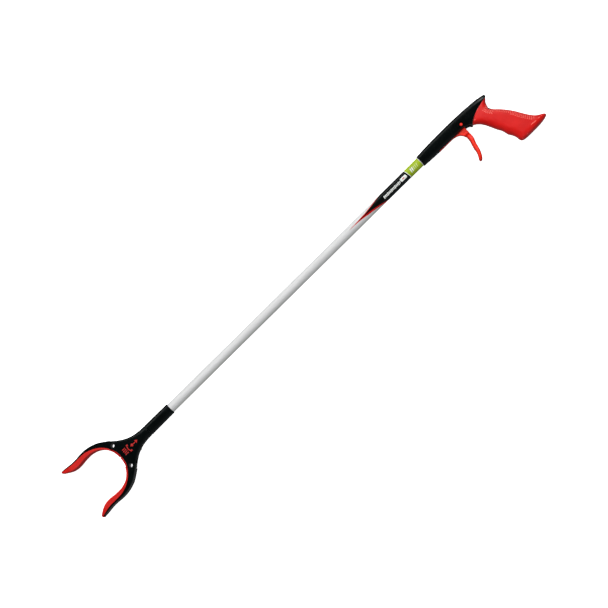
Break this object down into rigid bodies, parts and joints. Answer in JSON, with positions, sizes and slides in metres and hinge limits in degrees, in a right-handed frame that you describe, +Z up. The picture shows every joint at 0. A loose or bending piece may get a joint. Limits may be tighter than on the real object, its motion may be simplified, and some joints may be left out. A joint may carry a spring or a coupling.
{
  "type": "reacher grabber",
  "caption": "Long reacher grabber: straight metal tube with a turning head and two curved, lined jaws, and a pistol handle whose trigger closes the jaws.",
  "frame": {"origin": "on the tube's axis, where a storage clip holds the tube", "axes": "the grabber lies on its side; +X along the tube from the jaws to the handle, +Y away from the trigger, +Z up out of the handle's left side"},
  "size_m": [0.8387, 0.1261, 0.025],
  "materials": {
    "tube": "satin",
    "black_film": "printed film",
    "lime_film": "printed film",
    "black_plastic": "fine texture",
    "nylon": "natural nylon",
    "steel": "drawn",
    "soft_red": "soft touch",
    "red_plastic": "semi-gloss"
  },
  "bodies": {
    "frame": {"tube": "tube", "tube_wrap": "black_film", "green_band": "lime_film", "front_collar": "black_plastic", "swivel_washer": "black_plastic", "head_spindle": "nylon", "spindle_pin": "steel", "rod_guides": "nylon", "tube_plug": "nylon", "tube_lock_pin": "steel", "handle_shell_left": "black_plastic", "handle_shell_right": "black_plastic", "handle_screws": "steel", "grip": "soft_red", "return_spring": "steel"},
    "head": {"head_shell_left": "black_plastic", "head_shell_right": "black_plastic", "head_screws": "steel", "jaw_pivot_bushes": "black_plastic", "detent_ball": "steel", "detent_spring": "steel"},
    "upper_jaw": {"upper_jaw_arm": "black_plastic", "upper_jaw_lining": "soft_red"},
    "lower_jaw": {"lower_jaw_arm": "black_plastic", "lower_jaw_lining": "soft_red"},
    "crosshead": {"crosshead": "nylon", "drive_pins": "steel"},
    "pull_rod": {"pull_rod": "steel", "rod_button": "steel", "spring_seat": "nylon", "pull_link": "red_plastic", "rod_link_pin": "steel"},
    "trigger": {"trigger": "red_plastic", "trigger_link_pin": "steel"}
  },
  "joints": [
    {"name": "head_turn", "type": "hinge", "parent": "frame", "child": "head", "pos_m": [-0.3, 0, 0], "axis": [1, 0, 0], "range_deg": [-90, 90]},
    {"name": "rod_slide", "type": "slide", "parent": "frame", "child": "pull_rod", "axis": [1, 0, 0], "range_m": [0, 0.00648], "stiffness_N_per_m": 1500, "springref_m": -0.002, "deforming": ["return_spring"]},
    {"name": "trigger_squeeze", "type": "hinge", "parent": "frame", "child": "trigger", "pos_m": [0.3136, -0.0047, 0], "axis": [0, 0, 1], "range_deg": [0, 36]},
    {"name": "crosshead_slide", "type": "slide", "parent": "head", "child": "crosshead", "axis": [1, 0, 0], "range_m": [0, 0.0065]},
    {"name": "upper_jaw_close", "type": "hinge", "parent": "head", "child": "upper_jaw", "pos_m": [-0.3515, 0.0191, 0], "axis": [0, 0, 1], "range_deg": [0, 28.6]},
    {"name": "lower_jaw_close", "type": "hinge", "parent": "head", "child": "lower_jaw", "pos_m": [-0.3515, -0.0191, 0], "axis": [0, 0, -1], "range_deg": [0, 28.6]}
  ],
  "couplings": [
    {"joint": "trigger_squeeze", "follows": "rod_slide", "rad_per_m": 96.823},
    {"joint": "crosshead_slide", "follows": "rod_slide", "ratio": 1},
    {"joint": "upper_jaw_close", "follows": "rod_slide", "rad_per_m": 76.92},
    {"joint": "lower_jaw_close", "follows": "rod_slide", "rad_per_m": 76.92}
  ]
}
